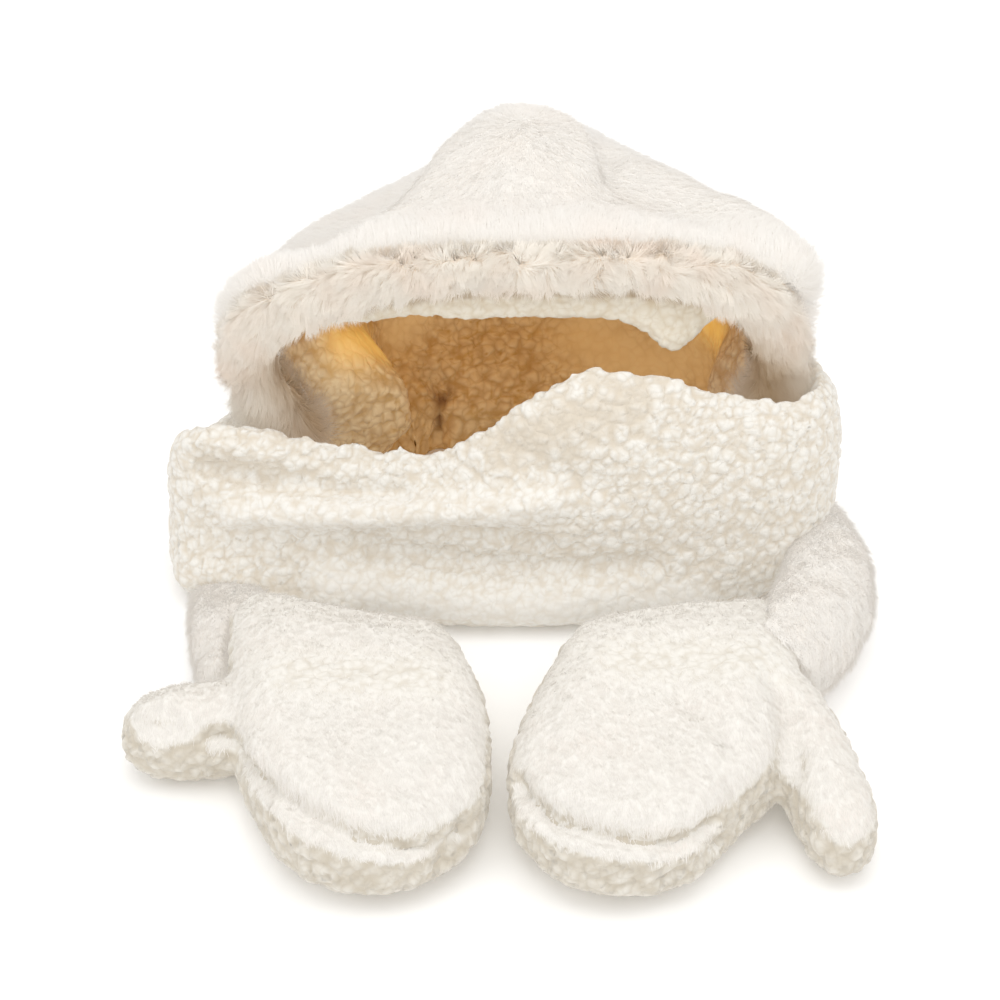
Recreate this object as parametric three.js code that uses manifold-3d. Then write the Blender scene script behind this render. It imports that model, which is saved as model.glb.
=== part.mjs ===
// A hooded scarf of cream plush with a mitten at each end, lying on a surface as if just taken off: the
// hood stands on its neck edge with its face opening to the front, the scarf goes round it once, and both
// scarf ends come out under the loop and finish in mittens that lie in front.
// Millimetres, +Z up. X runs to the right as seen from the front, Y runs away from the front, and the
// surface that everything lies on is Z = 0. Places are measured from the middle of the front, at the
// fingertips' line, and the whole is moved at the end so that its origin is at the middle of its base.
import * as THREE from "three";
import { mergeVertices } from "three/addons/utils/BufferGeometryUtils.js";
import Module from "manifold-3d";

const wasm = await Module();
wasm.setup();

// Driving dimensions
const PLUSH_WALL = 5; // outer cloth of the hood, pile included
const LINING_WALL = 6; // curly lining of the hood, pile included
const MITTEN_WALL = 8; // both cloths of a mitten, pile included
const CLEARANCE = 0.4; // between pieces that touch
const SCARF_THICKNESS = 25; // two cloths with their pile
const TRIM_TOP_HALF_WIDTH = 12; // of the fur roll, along the hood's surface
const TRIM_SIDE_HALF_WIDTH = 19;
const TRIM_HALF_DEPTH = 13; // of the fur roll, square to the hood's surface
const TRIM_STAND_OFF = 5; // from the hood's surface to the middle of the roll
const TRIM_CLEARANCE = 1.2; // from the roll to the cloths that are sewn to it

const radians = THREE.MathUtils.degToRad;

// Every column of a table, at a value of its key column, on a smooth curve through the rows.
function rowAt(table, key, value) {
  const above = table.findIndex((row) => row[key] > value);
  const first = above < 0 ? table.length - 2 : Math.max(0, above - 1);
  const [a, b] = [table[first], table[first + 1]];
  const [before, after] = [table[Math.max(0, first - 1)], table[Math.min(table.length - 1, first + 2)]];
  const span = b[key] - a[key];
  const t = THREE.MathUtils.clamp((value - a[key]) / span, 0, 1);
  const found = {};
  for (const column of Object.keys(a)) {
    const slopeA = ((b[column] - before[column]) / (b[key] - before[key])) * span;
    const slopeB = ((after[column] - a[column]) / (after[key] - a[key])) * span;
    found[column] =
      (2 * t ** 3 - 3 * t ** 2 + 1) * a[column] +
      (t ** 3 - 2 * t ** 2 + t) * slopeA +
      (3 * t ** 2 - 2 * t ** 3) * b[column] +
      (t ** 3 - t ** 2) * slopeB;
  }
  return found;
}

// A soft bump of height 1 over its middle, and a power that keeps its sign.
const bump = (distance, halfWidth) => Math.exp(-((distance / halfWidth) ** 2));
const signedPower = (value, power) => Math.sign(value) * Math.abs(value) ** power;

// A closed solid skinned over sections, each a closed line of the same number of points. A loop joins its
// last section to its first. Otherwise each end is closed by a fan to the middle of its section.
function skin(sections, loop = false) {
  const across = sections[0].length;
  const points = sections.flat();
  const triangles = [];
  const spans = loop ? sections.length : sections.length - 1;
  for (let i = 0; i < spans; i++) {
    const next = (i + 1) % sections.length;
    for (let j = 0; j < across; j++) {
      const k = (j + 1) % across;
      triangles.push([i * across + j, next * across + j, next * across + k]);
      triangles.push([i * across + j, next * across + k, i * across + k]);
    }
  }
  if (!loop) {
    for (const [section, turned] of [[0, true], [sections.length - 1, false]]) {
      const middle = new THREE.Vector3();
      sections[section].forEach((point) => middle.addScaledVector(point, 1 / across));
      points.push(middle);
      for (let j = 0; j < across; j++) {
        const a = section * across + j;
        const b = section * across + ((j + 1) % across);
        triangles.push(turned ? [points.length - 1, a, b] : [points.length - 1, b, a]);
      }
    }
  }
  return solidOf(points, triangles);
}

// A manifold solid from points and triangles, turned to face out.
function solidOf(points, triangles) {
  const geometry = new THREE.BufferGeometry().setFromPoints(points);
  geometry.setIndex(triangles.flat());
  const merged = mergeVertices(geometry, 1e-4);
  const place = merged.attributes.position;
  const [a, b, c] = [new THREE.Vector3(), new THREE.Vector3(), new THREE.Vector3()];
  const faces = [];
  let volume = 0;
  for (let i = 0; i < merged.index.count; i += 3) {
    const face = [0, 1, 2].map((k) => merged.index.getX(i + k));
    if (new Set(face).size < 3) continue;
    faces.push(face);
    [a, b, c].forEach((corner, k) => corner.fromBufferAttribute(place, face[k]));
    volume += a.dot(b.clone().cross(c));
  }
  const turned = volume < 0 ? faces.map(([p, q, r]) => [p, r, q]) : faces;
  const mesh = new wasm.Mesh({
    numProp: 3,
    vertProperties: new Float32Array(place.array),
    triVerts: new Uint32Array(turned.flat()),
  });
  return new wasm.Manifold(mesh);
}

function geometryOf(solid) {
  const mesh = solid.getMesh();
  const geometry = new THREE.BufferGeometry();
  geometry.setAttribute("position", new THREE.BufferAttribute(new Float32Array(mesh.vertProperties), 3));
  geometry.setIndex(new THREE.BufferAttribute(new Uint32Array(mesh.triVerts), 1));
  geometry.computeVertexNormals();
  return geometry;
}

// The surface that everything lies on cuts each soft piece flat.
const FLOOR_SIDE = 1200;
const FLOOR_DEPTH = 200;
const FLOOR_MIDDLE_Y = 250;
const floorPlate = new THREE.BoxGeometry(FLOOR_SIDE, FLOOR_SIDE, FLOOR_DEPTH).toNonIndexed();
floorPlate.translate(0, FLOOR_MIDDLE_Y, -FLOOR_DEPTH / 2);
const floorCorners = floorPlate.attributes.position;
const floorPoints = [];
const floorTriangles = [];
for (let i = 0; i < floorCorners.count; i += 3) {
  const triangle = [i, i + 1, i + 2];
  triangle.forEach((k) => floorPoints.push(new THREE.Vector3().fromBufferAttribute(floorCorners, k)));
  floorTriangles.push(triangle);
}
const floor = solidOf(floorPoints, floorTriangles);

// Hood: rings from the neck edge up to the peak. Each ring reaches left and right at its widest line, which
// lies at middle, and reaches forward and backward to front and back. Narrow is the share by which the ring's
// back half is narrower than an ellipse.
const HOOD_RINGS = [
  { height: -16, left: -121, right: 143, middle: 318, front: 268, back: 436, narrow: 0 },
  { height: 40, left: -121, right: 144, middle: 316, front: 266, back: 438, narrow: 0 },
  { height: 84, left: -126, right: 148, middle: 308, front: 266, back: 443, narrow: 0.06 },
  { height: 112, left: -139, right: 156, middle: 302, front: 266, back: 448, narrow: 0.14 },
  { height: 136, left: -142, right: 158, middle: 296, front: 267, back: 446, narrow: 0.24 },
  { height: 156, left: -129, right: 158, middle: 290, front: 269, back: 437, narrow: 0.38 },
  { height: 171, left: -104, right: 153, middle: 288, front: 273, back: 425, narrow: 0.5 },
  { height: 181, left: -72, right: 121, middle: 294, front: 281, back: 412, narrow: 0.5 },
  { height: 191, left: -46, right: 64, middle: 320, front: 297, back: 402, narrow: 0.26 },
  { height: 199, left: -30, right: 51, middle: 340, front: 316, back: 395, narrow: 0.1 },
  { height: 205, left: -12, right: 43, middle: 354, front: 334, back: 385, narrow: 0 },
];
const PEAK_RISE = 3; // of the rounded top over the last ring
const PEAK_CLOSING = 0.9; // how far the rounded top draws in towards its middle
const HOOD_HEART = new THREE.Vector3(10, 300, 60); // every place on the hood is in sight of this point inside
const LEAST_SLANT = 0.45; // a wall seen at a steeper slant from the heart is left thinner
const HOOD_TURNS = 35;
const INSIDE_FOOT = -20; // the inside runs further down than the outside, so that the neck stays open
const HOOD_HEIGHTS = [-16, 16, 46, 76, 102, 124, 142, 156, 167, 176, 185, 193, 200, 205];

// Soft dents in the hood's outside: where they lie round it, 0 at the right and 90 at the back, and how high.
const HOOD_DENTS = [
  { turn: 2, height: 188, turn_reach: 26, height_reach: 8, depth: 6 }, // notch beside the peak
  { turn: 55, height: 110, turn_reach: 14, height_reach: 60, depth: 6 },
  { turn: 122, height: 90, turn_reach: 14, height_reach: 55, depth: 7 },
  { turn: 148, height: 166, turn_reach: 27, height_reach: 16, depth: 13 },
];

// The way round from one turn to another, from -180 to 180 degrees.
const turnBetween = (to, from) => ((to - from + 540) % 360) - 180;

function ringPoint(turn, height) {
  const ring = rowAt(HOOD_RINGS, "height", height);
  const [side, away] = [Math.cos(radians(turn)), Math.sin(radians(turn))];
  const reach = ((ring.right - ring.left) / 2) * (1 - ring.narrow * Math.max(0, away));
  const x = (ring.left + ring.right) / 2 + side * reach;
  const y = ring.middle + away * (away > 0 ? ring.back - ring.middle : ring.middle - ring.front);
  return new THREE.Vector3(x, y, height);
}

function outwardNormal(surface, turn, height) {
  const step = 1.5;
  const round = surface(turn + step, height).sub(surface(turn - step, height));
  const up = surface(turn, height + step).sub(surface(turn, height - step));
  return round.cross(up).normalize();
}

// A place moved from a surface towards the hood's heart, by a thickness measured square to the surface.
function insetFrom(surface, turn, height, thickness) {
  const point = surface(turn, height);
  const way = HOOD_HEART.clone().sub(point).normalize();
  const slant = Math.max(LEAST_SLANT, -way.dot(outwardNormal(surface, turn, height)));
  return point.addScaledVector(way, thickness / slant);
}

// How deep a table's dents or folds are at a place.
function depthAt(table, turn, height) {
  const depths = table.map((row) => {
    const round = bump(turnBetween(turn, row.turn), row.turn_reach);
    return row.depth * round * bump(height - row.height, row.height_reach);
  });
  return depths.reduce((sum, depth) => sum + depth, 0);
}

// The outside of the hood's plush, and a place inside it by an inset.
function hoodSurface(turn, height) {
  const point = ringPoint(turn, height);
  const way = HOOD_HEART.clone().sub(point).normalize();
  return point.addScaledVector(way, depthAt(HOOD_DENTS, turn, height));
}

const hoodPoint = (turn, height, inset) => insetFrom(hoodSurface, turn, height, inset);

// The lining hangs loose from the hood's wall in places: how far it comes inward there.
const LINING_FOLDS = [
  { turn: 166, height: 58, turn_reach: 20, height_reach: 56, depth: 66 }, // side wall fallen inward
  { turn: 94, height: 6, turn_reach: 44, height_reach: 27, depth: 74 }, // roll along the foot of the back
  { turn: 8, height: 60, turn_reach: 13, height_reach: 50, depth: 26 },
];

// The outside of the lining, which meets the plush except at the folds, and a place inside it by an inset.
function liningSurface(turn, height) {
  const point = hoodPoint(turn, height, PLUSH_WALL + CLEARANCE);
  const way = new THREE.Vector3(HOOD_HEART.x - point.x, HOOD_HEART.y - point.y, 0).normalize();
  return point.addScaledVector(way, depthAt(LINING_FOLDS, turn, height));
}

const liningPoint = (turn, height, inset) => insetFrom(liningSurface, turn, height, inset);

// The solid inside a hood surface, from below the neck edge to the peak.
function domeSolid(pointAt, inset, foot) {
  const heights = [foot, ...HOOD_HEIGHTS.filter((height) => height > foot)];
  const rings = heights.map((height) =>
    Array.from({ length: HOOD_TURNS }, (_, i) => pointAt((360 * i) / HOOD_TURNS, height, inset)),
  );
  const top = new THREE.Vector3(0, 0, PEAK_RISE);
  rings.at(-1).forEach((point) => top.addScaledVector(point, 1 / HOOD_TURNS));
  rings.push(rings.at(-1).map((point) => point.clone().lerp(top, PEAK_CLOSING)));
  return skin(rings);
}

// Face opening: an arch on the hood's front from the left foot over the top to the right foot, widest above
// the scarf and drawn in at its feet.
const OPENING_TOP = 175;
const OPENING_FOOT = 14;
const OPENING_HALF_TURN = 68;
const OPENING_SQUARENESS = 0.54; // 1 is an ellipse and smaller is squarer
const FEET_DRAWN_IN = 0.16;
const FEET_DRAW_POWER = 1.5; // higher keeps the drawing in nearer to the feet

function openingAt(share) {
  const swing = Math.PI * (1 - share);
  const rise = Math.abs(Math.sin(swing)) ** OPENING_SQUARENESS;
  const drawn = 1 - FEET_DRAWN_IN * (1 - rise) ** FEET_DRAW_POWER;
  const turn = -90 + OPENING_HALF_TURN * drawn * signedPower(Math.cos(swing), OPENING_SQUARENESS);
  return { turn, height: OPENING_FOOT + (OPENING_TOP - OPENING_FOOT) * rise };
}

// The arch's point, its direction along, the hood's outward direction, and the way into the opening.
function openingFrame(share) {
  const step = 0.004;
  const [before, after] = [openingAt(Math.max(0, share - step)), openingAt(Math.min(1, share + step))];
  const { turn, height } = openingAt(share);
  const along = ringPoint(after.turn, after.height).sub(ringPoint(before.turn, before.height)).normalize();
  const outward = outwardNormal(ringPoint, turn, height);
  const inward = outward.clone().cross(along).negate().normalize();
  return { at: ringPoint(turn, height), along, outward, inward };
}

// What the opening takes out of the hood: the arch and its foot line, drawn in and out from a point inside.
const CUT_HEART = new THREE.Vector3(10, 345, 70);
const CUT_SCALES = [0.45, 1, 1.7];
const CUT_STEPS = 30;
const CUT_FOOT = -60;

function openingCutter() {
  const arch = Array.from({ length: CUT_STEPS + 1 }, (_, i) => openingFrame(i / CUT_STEPS).at);
  const foot = [arch.at(-1), arch[0]].map((point) => point.clone().setZ(CUT_FOOT));
  const line = [...arch, ...foot];
  return skin(CUT_SCALES.map((scale) => line.map((point) => CUT_HEART.clone().lerp(point, scale))));
}

// Fur roll round the opening, its pile in locks: rows of locks round the roll, each row half a lock further
// along than the last, and each lock rising slowly and ending steeply.
const TRIM_STEPS = 45;
const TRIM_SIDES = 12;
const LOCK_STEPS = 3;
const LOCK_STAGGER = 1.5; // steps that each row of locks lies further along than the last
const LOCK_HEIGHT = 2.6;

function trimSection(share, swellAt) {
  const frame = openingFrame(share);
  const middle = frame.at.clone().addScaledVector(frame.outward, TRIM_STAND_OFF);
  const sideways = Math.abs(Math.cos(Math.PI * share));
  const halfWidth = THREE.MathUtils.lerp(TRIM_TOP_HALF_WIDTH, TRIM_SIDE_HALF_WIDTH, sideways);
  return Array.from({ length: TRIM_SIDES }, (_, j) => {
    const angle = (2 * Math.PI * j) / TRIM_SIDES;
    const width = (halfWidth + swellAt(j)) * Math.cos(angle);
    const depth = (TRIM_HALF_DEPTH + swellAt(j)) * Math.sin(angle);
    return middle.clone().addScaledVector(frame.inward, width).addScaledVector(frame.outward, depth);
  });
}

function trimSolid() {
  const riseAt = (i, j) => ((i + j * LOCK_STAGGER) % LOCK_STEPS) / (LOCK_STEPS - 1);
  const lockAt = (i, j) => LOCK_HEIGHT * (riseAt(i, j) - 1);
  const steps = Array.from({ length: TRIM_STEPS + 1 }, (_, i) => i);
  return skin(steps.map((i) => trimSection(i / TRIM_STEPS, (j) => lockAt(i, j))));
}

// The room that the roll takes from its neighbours, without its locks.
const ROOM_STEPS = 36;

function trimRoom(slack) {
  return skin(Array.from({ length: ROOM_STEPS + 1 }, (_, i) => trimSection(i / ROOM_STEPS, () => slack)));
}

// Facing: the edge of the curly lining that shows below the roll, with a slack stretch that sags.
const FACING_FROM = 0.24;
const FACING_TO = 0.8;
const FACING_STEPS = 24;
const FACING_SIDES = 8;
const FACING_HALF_LENGTH = 13;
const FACING_HALF_THICKNESS = 5;
const FACING_REACH = 9; // from the arch to the facing's middle
const FACING_SINK = 5; // of the facing's middle behind the hood's surface
const FACING_END_SHARE = 0.35; // how wide its ends are, as a share of the rest
const FACING_END_FADE = 0.4; // smaller narrows it nearer to its ends
const FACING_SAGS = [
  { share: 0.36, reach: 0.03, depth: 2 },
  { share: 0.47, reach: 0.03, depth: 3 },
  { share: 0.58, reach: 0.042, depth: 19 },
];

function facingSolid() {
  const sections = [];
  for (let i = 0; i <= FACING_STEPS; i++) {
    const share = FACING_FROM + ((FACING_TO - FACING_FROM) * i) / FACING_STEPS;
    const frame = openingFrame(share);
    const sag = FACING_SAGS.reduce((sum, row) => sum + row.depth * bump(share - row.share, row.reach), 0);
    const fade = Math.sin((Math.PI * i) / FACING_STEPS) ** FACING_END_FADE;
    const slim = THREE.MathUtils.lerp(FACING_END_SHARE, 1, fade);
    const reach = FACING_REACH * slim + sag / 2;
    const middle = frame.at.clone().addScaledVector(frame.inward, reach);
    middle.addScaledVector(frame.outward, -FACING_SINK);
    const section = [];
    for (let j = 0; j < FACING_SIDES; j++) {
      const angle = (2 * Math.PI * j) / FACING_SIDES;
      const length = (FACING_HALF_LENGTH + sag / 2) * slim * Math.cos(angle);
      const depth = FACING_HALF_THICKNESS * slim * Math.sin(angle);
      const point = middle.clone().addScaledVector(frame.inward, length);
      section.push(point.addScaledVector(frame.outward, depth));
    }
    sections.push(section);
  }
  return skin(sections);
}

// Scarf loop: the middle of its thickness as seen from above, its top and bottom edges, and how far its top
// leans inward, from the left end of the front to the right and on round the back.
const SCARF_LOOP = [
  { x: -153, y: 241, top: 96, bottom: 0, lean: 12 },
  { x: -128, y: 236, top: 98, bottom: -2, lean: 20 },
  { x: -95, y: 230, top: 97, bottom: -4, lean: 20 },
  { x: -62, y: 225, top: 96, bottom: -4, lean: 20 },
  { x: -34, y: 221, top: 96, bottom: -4, lean: 20 },
  { x: -8, y: 219, top: 110, bottom: -4, lean: 22 },
  { x: 18, y: 219, top: 134, bottom: -4, lean: 24 },
  { x: 52, y: 221, top: 145, bottom: -3, lean: 24 },
  { x: 88, y: 226, top: 137, bottom: -3, lean: 22 },
  { x: 120, y: 232, top: 124, bottom: -2, lean: 18 },
  { x: 146, y: 241, top: 119, bottom: 2, lean: 10 },
  { x: 160, y: 257, top: 117, bottom: 12, lean: 4 },
  { x: 164, y: 284, top: 110, bottom: 12, lean: 2 },
  { x: 156, y: 320, top: 98, bottom: 4, lean: 0 },
  { x: 140, y: 361, top: 90, bottom: -2, lean: 0 },
  { x: 108, y: 403, top: 86, bottom: -4, lean: 0 },
  { x: 62, y: 435, top: 86, bottom: -4, lean: 0 },
  { x: 8, y: 447, top: 88, bottom: -4, lean: 0 },
  { x: -46, y: 438, top: 84, bottom: -4, lean: 0 },
  { x: -92, y: 408, top: 78, bottom: -4, lean: 0 },
  { x: -121, y: 367, top: 70, bottom: -2, lean: 0 },
  { x: -133, y: 324, top: 62, bottom: 0, lean: 0 },
  { x: -151, y: 284, top: 74, bottom: 4, lean: 2 },
  { x: -161, y: 258, top: 88, bottom: 2, lean: 4 },
];

// Creases pressed into the loop's outside and, at a depth below nothing, rolls that stand out of it. The turn
// is 0 at the right and 90 at the back.
const SCARF_CREASES = [
  { turn: 238, height: 84, turn_reach: 24, height_reach: 8, depth: 8 },
  { turn: 244, height: 69, turn_reach: 30, height_reach: 8, depth: -5 },
  { turn: 268, height: 44, turn_reach: 30, height_reach: 8, depth: 9 },
  { turn: 262, height: 18, turn_reach: 40, height_reach: 15, depth: -3 },
  { turn: 296, height: 88, turn_reach: 26, height_reach: 34, depth: -4 },
  { turn: 180, height: 44, turn_reach: 22, height_reach: 8, depth: 5 },
  { turn: 20, height: 58, turn_reach: 34, height_reach: 9, depth: 6 },
  { turn: 92, height: 36, turn_reach: 34, height_reach: 9, depth: 7 },
  { turn: 128, height: 60, turn_reach: 18, height_reach: 7, depth: 5 },
];
const SCARF_HEART = new THREE.Vector2(5, 335);
const LEAN_PIVOT = 0.2; // the height, as a share of the loop's, that the lean leaves in place
const SCARF_STEPS = 42;
const SCARF_OUTSIDE_POINTS = 11; // of each section, from its bottom up
const SCARF_INSIDE_POINTS = 4; // and down again
const SCARF_FACE_SQUARENESS = 0.45; // 1 is an ellipse and smaller is squarer

function scarfSolid() {
  const plan = new THREE.CatmullRomCurve3(SCARF_LOOP.map((row) => new THREE.Vector3(row.x, row.y, 0)), true);
  const edges = new THREE.CatmullRomCurve3(
    SCARF_LOOP.map((row) => new THREE.Vector3(row.top, row.bottom, row.lean)),
    true,
  );
  const sections = [];
  for (let i = 0; i < SCARF_STEPS; i++) {
    const at = plan.getPoint(i / SCARF_STEPS);
    const run = plan.getTangent(i / SCARF_STEPS);
    const outward = new THREE.Vector3(run.y, -run.x, 0).normalize();
    const { x: top, y: bottom, z: lean } = edges.getPoint(i / SCARF_STEPS);
    const turn = THREE.MathUtils.radToDeg(Math.atan2(at.y - SCARF_HEART.y, at.x - SCARF_HEART.x));
    const placeAt = (rise, side) => {
      const height = bottom + (top - bottom) * rise;
      const crease = side > 0 ? depthAt(SCARF_CREASES, turn, height) : 0;
      const half = side * (SCARF_THICKNESS / 2) * (4 * rise * (1 - rise)) ** SCARF_FACE_SQUARENESS;
      return at.clone().addScaledVector(outward, half - lean * (rise - LEAN_PIVOT) - crease).setZ(height);
    };
    const section = [];
    for (let j = 0; j < SCARF_OUTSIDE_POINTS; j++) {
      section.push(placeAt(j / SCARF_OUTSIDE_POINTS, 1));
    }
    for (let j = 0; j < SCARF_INSIDE_POINTS; j++) {
      section.push(placeAt(1 - j / SCARF_INSIDE_POINTS, -1));
    }
    sections.push(section);
  }
  return skin(sections, true);
}

// A soft tube along a short table of places, each with its half width and half height.
const TUBE_SQUARENESS = 0.85; // 1 is an ellipse and smaller is squarer
function tubeSolid(table, sides, steps, grow = 0) {
  const path = new THREE.CatmullRomCurve3(table.map((row) => new THREE.Vector3(row.x, row.y, row.z)));
  const marked = table.map((row, i) => ({ ...row, mark: i / (table.length - 1) }));
  const up = new THREE.Vector3(0, 0, 1);
  const sections = [];
  for (let i = 0; i <= steps; i++) {
    const mark = i / steps;
    const row = rowAt(marked, "mark", mark);
    const run = path.getTangent(mark);
    const across = new THREE.Vector3().crossVectors(run, up).normalize();
    const over = new THREE.Vector3().crossVectors(across, run).normalize();
    const section = [];
    for (let j = 0; j < sides; j++) {
      const angle = (2 * Math.PI * j) / sides;
      const wide = (row.half_width + grow) * signedPower(Math.cos(angle), TUBE_SQUARENESS);
      const tall = (row.half_height + grow) * signedPower(Math.sin(angle), TUBE_SQUARENESS);
      section.push(path.getPoint(mark).addScaledVector(across, wide).addScaledVector(over, tall));
    }
    sections.push(section);
  }
  return skin(sections);
}

// Scarf ends: each comes out under the loop and runs to its mitten's wrist.
const LEFT_END = [
  { x: -126, y: 300, z: 4, half_width: 24, half_height: 6 },
  { x: -134, y: 262, z: 4, half_width: 24, half_height: 6 },
  { x: -137, y: 232, z: 8, half_width: 22, half_height: 9 },
  { x: -135, y: 196, z: 14, half_width: 22, half_height: 14 },
  { x: -128, y: 150, z: 14, half_width: 20, half_height: 13 },
];
const RIGHT_END = [
  { x: 142, y: 312, z: 12, half_width: 20, half_height: 12 },
  { x: 158, y: 278, z: 15, half_width: 22, half_height: 15 },
  { x: 166, y: 242, z: 20, half_width: 22, half_height: 20 },
  { x: 164, y: 206, z: 24, half_width: 25, half_height: 24 },
  { x: 151, y: 174, z: 25, half_width: 26, half_height: 24 },
  { x: 130, y: 150, z: 24, half_width: 24, half_height: 22 },
];
const END_SIDES = 10;
const END_STEPS = 9;

// Mittens: the outline of each hand part from above, and the thumb as a soft tube.
const LEFT_HAND = [
  { x: -126, y: 203 },
  { x: -98, y: 199 },
  { x: -62, y: 187 },
  { x: -30, y: 178 },
  { x: -14, y: 150 },
  { x: -4, y: 112 },
  { x: -2, y: 78 },
  { x: -6, y: 44 },
  { x: -28, y: 14 },
  { x: -62, y: 5 },
  { x: -96, y: 20 },
  { x: -118, y: 58 },
  { x: -130, y: 100 },
  { x: -134, y: 150 },
  { x: -135, y: 190 },
];
const LEFT_THUMB = [
  { x: -104, y: 116, z: 22, half_width: 24, half_height: 23 },
  { x: -130, y: 112, z: 21, half_width: 23, half_height: 22 },
  { x: -152, y: 109, z: 21, half_width: 23, half_height: 22 },
  { x: -171, y: 107, z: 21, half_width: 18, half_height: 18 },
  { x: -180, y: 106, z: 21, half_width: 9, half_height: 9 },
];
const RIGHT_HAND = [
  { x: 38, y: 177 },
  { x: 68, y: 191 },
  { x: 104, y: 199 },
  { x: 138, y: 196 },
  { x: 148, y: 168 },
  { x: 146, y: 118 },
  { x: 134, y: 72 },
  { x: 112, y: 44 },
  { x: 88, y: 14 },
  { x: 58, y: 4 },
  { x: 26, y: 12 },
  { x: 5, y: 40 },
  { x: 1, y: 72 },
  { x: 10, y: 108 },
  { x: 22, y: 142 },
];
const RIGHT_THUMB = [
  { x: 128, y: 132, z: 22, half_width: 20, half_height: 23 },
  { x: 141, y: 106, z: 22, half_width: 21, half_height: 23 },
  { x: 150, y: 74, z: 21, half_width: 20, half_height: 22 },
  { x: 156, y: 48, z: 20, half_width: 19, half_height: 21 },
  { x: 158, y: 30, z: 20, half_width: 14, half_height: 16 },
  { x: 159, y: 23, z: 20, half_width: 6, half_height: 8 },
];
const HAND_MIDDLE = 25; // height of the seam between palm and back
const HAND_BULGE = 29; // of each cloth above or below the seam
const SEAM_DRAW = 3.6; // how far the seam is drawn in
const SEAM_REACH = 9; // degrees over the edge, to either side of the seam
const HAND_FLATNESS = 0.55; // 1 is round over the edge and smaller is flatter on top
const HAND_FULLNESS = 0.85;
const WRIST_REACH = 90; // over which the hand gets lower towards the wrist
const WRIST_DROP = 0.3; // as a share of the bulge
const HAND_POINTS = 27;
const CLOTH_RISES = [-60, -34, -12, 0, 12, 26, 44, 68]; // degrees over the edge, below and above the seam
const HOLLOW_RISES = [-60, -28, 0, 28, 60];
const THUMB_SIDES = 12;
const THUMB_STEPS = 7;
const HOLLOW_THUMB_SIDES = 8;
const HOLLOW_THUMB_STEPS = 4;
const MOUTH_STEPS = 2;

// The rounded pillow of a hand part: from the middle of the palm out over the seam to the middle of the back,
// lower towards the wrist.
function handSolid(outline, inset = 0, rises = CLOTH_RISES) {
  const edge = new THREE.CatmullRomCurve3(outline.map((row) => new THREE.Vector3(row.x, row.y, 0)), true);
  const rim = edge.getSpacedPoints(HAND_POINTS).slice(0, HAND_POINTS);
  const middle = new THREE.Vector3();
  rim.forEach((point) => middle.addScaledVector(point, 1 / HAND_POINTS));
  const wrist = Math.max(...rim.map((point) => point.y));
  const placeAt = (rise, point) => {
    const pinch = inset ? 0 : SEAM_DRAW * bump(rise, SEAM_REACH);
    const kept = 1 - (inset + pinch) / point.distanceTo(middle);
    const place = middle.clone().lerp(point, Math.cos(radians(rise)) ** HAND_FLATNESS * kept);
    const wristward = THREE.MathUtils.smoothstep(place.y, wrist - WRIST_REACH, wrist);
    const bulge = (HAND_BULGE - inset) * (1 - WRIST_DROP * wristward);
    return place.setZ(HAND_MIDDLE + bulge * signedPower(Math.sin(radians(rise)), HAND_FULLNESS));
  };
  return skin(rises.map((rise) => rim.map((point) => placeAt(rise, point))));
}

// The way in at each wrist, from inside the palm out past the edge.
const LEFT_MOUTH = [
  { x: -66, y: 120, z: 26, half_width: 44, half_height: 15 },
  { x: -72, y: 170, z: 25, half_width: 43, half_height: 13 },
  { x: -76, y: 240, z: 25, half_width: 44, half_height: 13 },
];
const RIGHT_MOUTH = [
  { x: 78, y: 120, z: 26, half_width: 44, half_height: 15 },
  { x: 86, y: 170, z: 25, half_width: 43, half_height: 13 },
  { x: 92, y: 240, z: 25, half_width: 44, half_height: 13 },
];

// A mitten: hand and thumb in one, hollow, and open at the wrist for the hand.
const LEAST_THUMB_HOLLOW = 2;

function mittenSolid(outline, thumb, mouth) {
  const hollowThumb = thumb.slice(0, -1).map((row) => ({
    ...row,
    half_width: Math.max(LEAST_THUMB_HOLLOW, row.half_width - MITTEN_WALL),
    half_height: Math.max(LEAST_THUMB_HOLLOW, row.half_height - MITTEN_WALL),
  }));
  const outside = handSolid(outline).add(tubeSolid(thumb, THUMB_SIDES, THUMB_STEPS));
  const hollow = handSolid(outline, MITTEN_WALL, HOLLOW_RISES)
    .add(tubeSolid(hollowThumb, HOLLOW_THUMB_SIDES, HOLLOW_THUMB_STEPS))
    .add(tubeSolid(mouth, THUMB_SIDES, MOUTH_STEPS));
  return outside.subtract(hollow).subtract(floor);
}

// Solids
const trimSpace = trimRoom(TRIM_CLEARANCE);
const liningSpace = trimRoom(LINING_WALL);
const opening = openingCutter();
const hoodOutside = domeSolid(hoodPoint, 0, HOOD_HEIGHTS[0]);
const hoodInside = domeSolid(hoodPoint, PLUSH_WALL, INSIDE_FOOT);
const liningOutside = domeSolid(liningPoint, 0, HOOD_HEIGHTS[0]);
const liningInside = domeSolid(liningPoint, LINING_WALL, INSIDE_FOOT);

const hoodShell = hoodOutside.subtract(hoodInside).subtract(opening).subtract(trimSpace).subtract(floor);
const hoodLining = liningOutside
  .subtract(liningInside)
  .subtract(opening)
  .subtract(liningSpace)
  .subtract(floor);
const faceTrim = trimSolid().subtract(floor);
const liningFacing = facingSolid().subtract(trimSpace);
const leftMitten = mittenSolid(LEFT_HAND, LEFT_THUMB, LEFT_MOUTH);
const rightMitten = mittenSolid(RIGHT_HAND, RIGHT_THUMB, RIGHT_MOUTH);

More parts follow.
